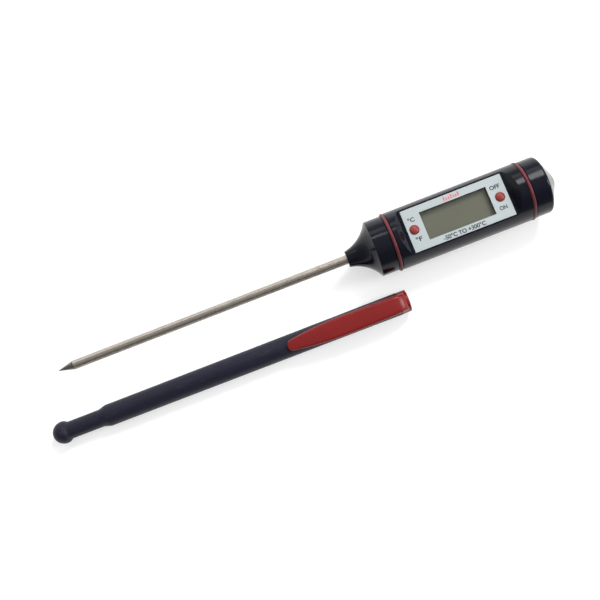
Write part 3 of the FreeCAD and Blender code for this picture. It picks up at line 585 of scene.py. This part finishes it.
sections = clip_sections()
first_along, first_half, first_low, first_high = (value * MM for value in sections[0])
bpy.ops.mesh.primitive_plane_add(
    size=1, rotation=(0, math.pi / 2, 0), location=(first_along, 0, (first_low + first_high) / 2),
)
clip = bpy.context.object
clip.name = "clip"
clip.scale = (first_high - first_low, 2 * first_half, 1)
bpy.ops.object.transform_apply(location=True, rotation=True, scale=True)
bpy.ops.object.mode_set(mode="EDIT")
bpy.ops.mesh.select_all(action="DESELECT")
bpy.ops.object.mode_set(mode="OBJECT")
for corner in clip.data.vertices:
    corner.select = corner.co.z > (first_low + first_high) / 2
bpy.ops.object.mode_set(mode="EDIT")
bpy.ops.mesh.bevel(affect="VERTICES", offset=BACK_ROUND, segments=6, profile=0.5)
bpy.ops.mesh.select_all(action="SELECT")
for last, section in zip(sections, sections[1:]):
    extrude_section(section, last)
bpy.ops.mesh.select_all(action="SELECT")
bpy.ops.mesh.normals_make_consistent(inside=False)
bpy.ops.object.mode_set(mode="OBJECT")
clip.select_set(False)

band = collar_drum(COLLAR_RADIUS, COLLAR_START, MOUTH)
modify(band, "BEVEL", width=EDGE_ROUND, segments=4, limit_method="ANGLE")
modify(clip, "BEVEL", width=EDGE_ROUND, segments=4, limit_method="ANGLE", angle_limit=math.radians(50))
modify(clip, "BOOLEAN", operation="UNION", object=band, solver="EXACT")
seat = collar_drum(SEAT_RADIUS, COLLAR_START - SEAT_OVERRUN, MOUTH + SEAT_OVERRUN)
modify(clip, "BOOLEAN", operation="DIFFERENCE", object=seat, solver="EXACT")
for tool in (band, seat):
    bpy.data.objects.remove(tool)

# Push the finished moulding onto the sheath, rolled with it towards -Y
clip.location = (CLOSED_END, SHEATH_Y, SHEATH_Z)
clip.rotation_euler = (ROLL, 0, 0)
clip.select_set(True)
bpy.ops.object.transform_apply(location=True, rotation=True, scale=True)
bpy.ops.object.shade_smooth_by_angle(angle=math.radians(35))
clip.select_set(False)
clip.data.materials.clear()
clip.data.materials.append(red_acetal())


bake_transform(clip)
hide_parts("clip_collar", "clip_tongue")


# ---------------------------------------------------------------- table, light and camera
# A pale tabletop that glows faintly, in a room that is brighter on its far side. Windows stand
# beyond the handle and past its battery end, and two lamps that nothing mirrors add plain light.
# The camera stands over the table, a little nearer the sheath.

bpy.ops.mesh.primitive_plane_add(size=6, location=(0, 0, 0))
table = bpy.context.object
table.name = "table"
table_material, start = new_material("pale_table")
start.skin({
    "Base Color": (0.55, 0.55, 0.55, 1.0),
    "Roughness": 0.7,
    "Emission Color": (1.0, 1.0, 1.0, 1.0),
    "Emission Strength": 0.5,
})
table.data.materials.append(table_material)

scene = bpy.context.scene
scene.view_settings.view_transform = "Standard"
world = bpy.data.worlds.new("bright_room")
world.use_nodes = True
world.node_tree.nodes.clear()
scene.world = world
start = Shade(world.node_tree)
sky = start.node("TexCoord", {}, {}, output="Generated")
height = start.node("SeparateXYZ", {}, {0: sky}, output="Z")
beyond = start.node("SeparateXYZ", {}, {0: sky}, output="Y")
glow = height.ramp((0.0, 1.0), (0.12, 0.85), (0.35, 0.5), (0.75, 0.5), (1.0, 0.75)) * (beyond * 0.35 + 0.65)
room = start.node("Background", {}, {"Color": glow, "Strength": 1.0})
start.node("OutputWorld", {}, {"Surface": room})


def soft_light(name, place, target, size, power, reflected=True):
    """Rectangular lamp at a place, facing a target."""
    lamp_data = bpy.data.lights.new(name, "AREA")
    lamp_data.shape = "RECTANGLE"
    lamp_data.size, lamp_data.size_y = size
    lamp_data.energy = power
    lamp = bpy.data.objects.new(name, lamp_data)
    scene.collection.objects.link(lamp)
    lamp.location = place
    lamp.rotation_euler = (Vector(target) - Vector(place)).to_track_quat("-Z", "Y").to_euler()
    lamp.visible_glossy = reflected


soft_light("window", (0.36, 0.42, 0.62), (0.1, 0.0, 0.01), (0.16, 0.34), 1.6)
soft_light("small_window", (0.11, 0.42, 0.62), (0.05, 0.0, 0.01), (0.03, 0.1), 0.1)
soft_light("long_window", (-0.05, 0.62, 0.42), (0.0, 0.0, 0.01), (1.2, 0.22), 1.2)
soft_light("end_window", (0.60, -0.09, 0.49), (0.04, -0.02, 0.01), (0.2, 0.4), 2.4)
soft_light("key", (0.50, 0.50, 0.75), (0.0, 0.0, 0.01), (0.25, 0.25), 6.5, reflected=False)
soft_light("overhead", (0.0, 0.1, 1.6), (0.0, 0.0, 0.0), (1.6, 1.6), 8.0, reflected=False)

camera_data = bpy.data.cameras.new("camera")
camera_data.angle = math.radians(42.0)
camera = bpy.data.objects.new("camera", camera_data)
camera.location = (8.61 * MM, -42.29 * MM, 310.4 * MM)
camera.rotation_euler = (math.radians(6.979), math.radians(4.107), math.radians(-20.752))
scene.collection.objects.link(camera)
scene.camera = camera
